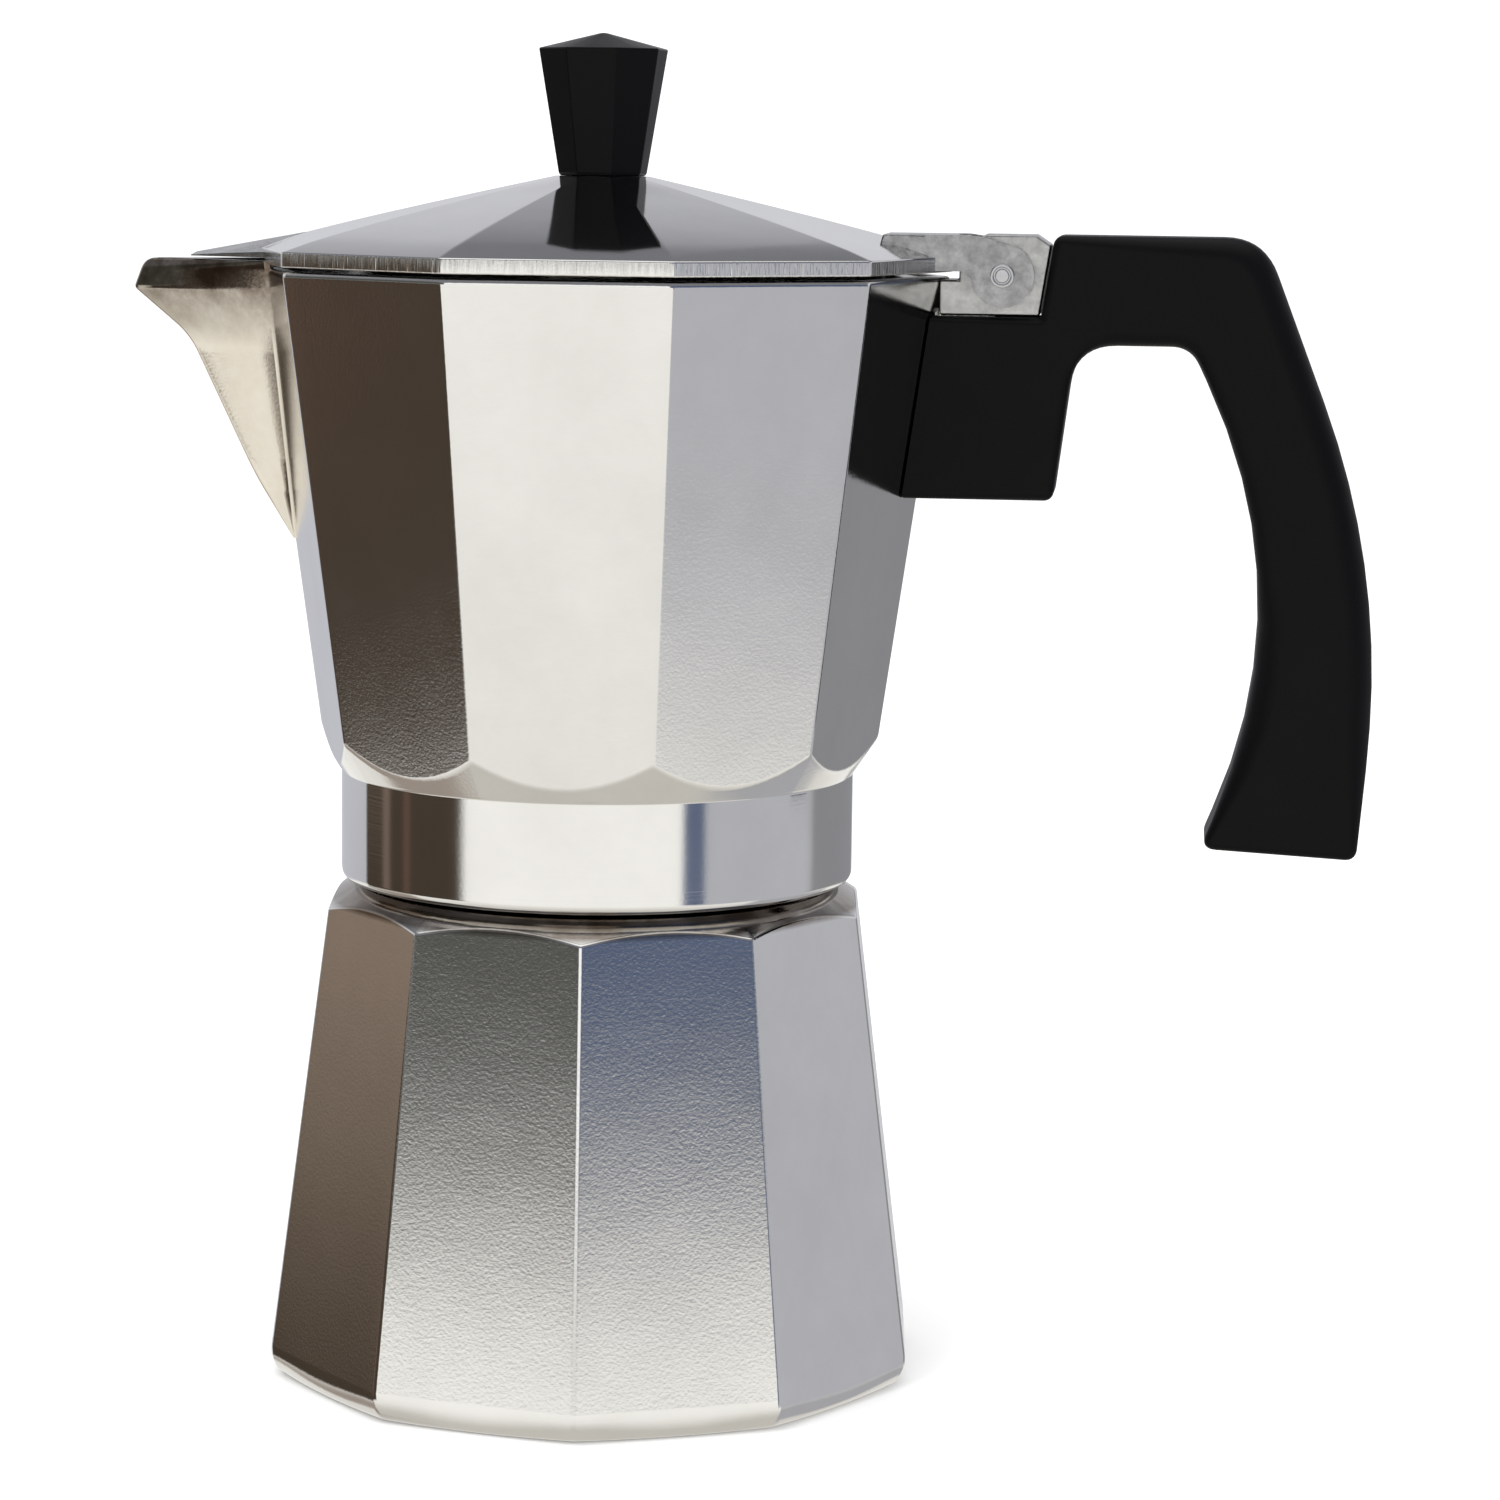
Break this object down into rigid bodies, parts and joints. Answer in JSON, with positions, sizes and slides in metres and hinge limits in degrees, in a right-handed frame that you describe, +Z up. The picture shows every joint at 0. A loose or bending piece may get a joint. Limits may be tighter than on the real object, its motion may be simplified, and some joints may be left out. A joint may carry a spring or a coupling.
{
  "type": "stovetop moka pot",
  "caption": "Ten-sided cast stovetop coffee maker: boiler with safety valve, lift-out filter funnel, screw-on upper jug with spout, hinged lid and side handle.",
  "frame": {"origin": "on the pot's axis, in the plane it stands on", "axes": "+Z up; +X towards the handle, -X towards the spout; +Y completes the right-handed frame"},
  "size_m": [0.2002, 0.1076, 0.216],
  "materials": {
    "cast_aluminium": "polished casting with fine grain",
    "sheet_aluminium": "plain sheet",
    "handle_plastic": "satin black",
    "brass": "turned",
    "steel": "plated",
    "rubber": "moulded, off-white"
  },
  "bodies": {
    "boiler": {"boiler": "cast_aluminium", "valve_body": "brass", "valve_washer": "rubber", "valve_spring": "steel"},
    "poppet": {"valve_poppet": "brass"},
    "funnel": {"funnel_basket": "sheet_aluminium", "funnel_stem": "sheet_aluminium", "funnel_screen": "sheet_aluminium"},
    "seal": {"gasket": "rubber", "filter_plate": "sheet_aluminium"},
    "upper": {"collector": "cast_aluminium", "column": "cast_aluminium", "hinge_pin": "steel", "handle": "handle_plastic", "handle_screw": "steel", "handle_washer": "steel"},
    "lid": {"lid": "cast_aluminium", "knob": "handle_plastic", "knob_washer": "steel", "knob_screw": "steel"}
  },
  "joints": [
    {"name": "valve_push", "type": "slide", "parent": "boiler", "child": "poppet", "axis": [0.7579, 0.6405, 0.1235], "range_m": [0, 0.0012], "stiffness_N_per_m": 1500, "springref_m": -0.0016},
    {"name": "funnel_lift", "type": "slide", "parent": "boiler", "child": "funnel", "axis": [0, 0, 1], "range_m": [0, 0.1]},
    {"name": "collector_rise", "type": "slide", "parent": "funnel", "child": "seal", "axis": [0, 0, 1], "range_m": [0, 0.0136]},
    {"name": "collector_turn", "type": "hinge", "parent": "seal", "child": "upper", "pos_m": [0, 0, 0], "axis": [0, 0, 1], "range_deg": [0, 1080]},
    {"name": "lid_hinge", "type": "hinge", "parent": "upper", "child": "lid", "pos_m": [0.0644, 0, 0.1787], "axis": [0, 1, 0], "range_deg": [0, 98]}
  ],
  "couplings": [
    {"joint": "collector_rise", "follows": "collector_turn", "m_per_rad": 0.0007162}
  ]
}
